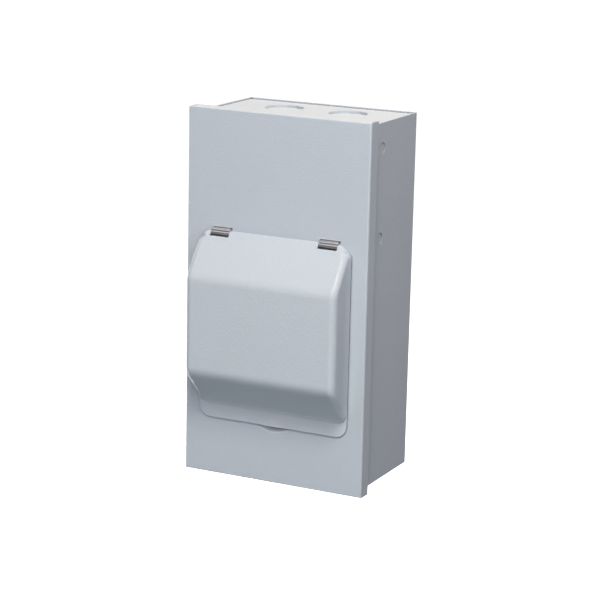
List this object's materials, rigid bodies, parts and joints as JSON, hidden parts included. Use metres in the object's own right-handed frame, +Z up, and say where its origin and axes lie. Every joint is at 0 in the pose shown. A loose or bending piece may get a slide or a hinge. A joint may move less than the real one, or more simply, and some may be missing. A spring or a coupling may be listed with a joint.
{
  "type": "ac disconnect box",
  "caption": "Wall box of folded sheet steel with a hinged flap over a row of rail-mounted switches, for isolating one supply.",
  "frame": {"origin": "centre of the back face, which rests on the wall", "axes": "+Z up, the front faces -Y, +Y into the wall, +X to the right seen from the front"},
  "size_m": [0.129, 0.1005, 0.242],
  "materials": {
    "enclosure_paint": "pale blue-grey powder coat with a fine orange-peel texture",
    "door_paint": "pale blue-grey powder coat, a little smoother and glossier than the box",
    "bright_steel": "zinc or nickel plated",
    "brass": "machined",
    "copper": "bare copper strip",
    "light_plastic": "moulded light grey thermoset",
    "dark_plastic": "moulded black plastic",
    "red_plastic": "moulded red plastic",
    "blue_plastic": "moulded blue plastic"
  },
  "bodies": {
    "enclosure": {"body_wrap": "enclosure_paint", "top_plate": "enclosure_paint", "bottom_plate": "enclosure_paint", "knockout_top_left": "enclosure_paint", "knockout_top_right": "enclosure_paint", "knockout_bottom_left": "enclosure_paint", "knockout_bottom_right": "enclosure_paint", "din_rail": "bright_steel", "rail_standoffs": "bright_steel", "rail_screws": "bright_steel", "cover_posts": "bright_steel", "busbar_comb": "copper", "busbar_trough": "dark_plastic", "neutral_bar": "brass", "neutral_bar_screws": "bright_steel", "neutral_bar_holder": "blue_plastic", "earth_bar": "brass", "earth_bar_screws": "bright_steel", "earth_bar_spacers": "brass", "earth_stud": "bright_steel", "earth_nut": "bright_steel", "main_switch_housing": "light_plastic", "main_switch_clamps": "bright_steel", "main_switch_terminal_screws": "bright_steel", "breaker_a_housing": "light_plastic", "breaker_a_clamps": "bright_steel", "breaker_a_terminal_screws": "bright_steel", "breaker_b_housing": "light_plastic", "breaker_b_clamps": "bright_steel", "breaker_b_terminal_screws": "bright_steel"},
    "cover": {"front_cover": "enclosure_paint", "hinge_clip_left": "bright_steel", "hinge_clip_right": "bright_steel", "cover_screws": "bright_steel"},
    "door": {"door_flap": "door_paint", "door_pin": "bright_steel"},
    "main_switch_toggle": {"main_switch_toggle": "red_plastic"},
    "main_switch_latch": {"main_switch_latch": "dark_plastic"},
    "breaker_a_toggle": {"breaker_a_toggle": "dark_plastic"},
    "breaker_a_latch": {"breaker_a_latch": "dark_plastic"},
    "breaker_b_toggle": {"breaker_b_toggle": "dark_plastic"},
    "breaker_b_latch": {"breaker_b_latch": "dark_plastic"}
  },
  "joints": [
    {"name": "cover_lift_off", "type": "slide", "parent": "enclosure", "child": "cover", "axis": [0, -1, 0], "range_m": [0, 0.07]},
    {"name": "door_hinge", "type": "hinge", "parent": "cover", "child": "door", "pos_m": [0, -0.0799, 0.0415], "axis": [-1, 0, 0], "range_deg": [0, 125]},
    {"name": "main_switch_toggle_pivot", "type": "hinge", "parent": "enclosure", "child": "main_switch_toggle", "pos_m": [-0.0175, -0.0835, -0.017], "axis": [1, 0, 0], "range_deg": [0, 80]},
    {"name": "main_switch_latch_slide", "type": "slide", "parent": "enclosure", "child": "main_switch_latch", "axis": [0, 0, -1], "range_m": [0, 0.004], "stiffness_N_per_m": 800, "springref_m": -0.001},
    {"name": "breaker_a_toggle_pivot", "type": "hinge", "parent": "enclosure", "child": "breaker_a_toggle", "pos_m": [0.00875, -0.0835, -0.017], "axis": [1, 0, 0], "range_deg": [0, 80]},
    {"name": "breaker_a_latch_slide", "type": "slide", "parent": "enclosure", "child": "breaker_a_latch", "axis": [0, 0, -1], "range_m": [0, 0.004], "stiffness_N_per_m": 800, "springref_m": -0.001},
    {"name": "breaker_b_toggle_pivot", "type": "hinge", "parent": "enclosure", "child": "breaker_b_toggle", "pos_m": [0.02625, -0.0835, -0.017], "axis": [1, 0, 0], "range_deg": [0, 80]},
    {"name": "breaker_b_latch_slide", "type": "slide", "parent": "enclosure", "child": "breaker_b_latch", "axis": [0, 0, -1], "range_m": [0, 0.004], "stiffness_N_per_m": 800, "springref_m": -0.001}
  ]
}
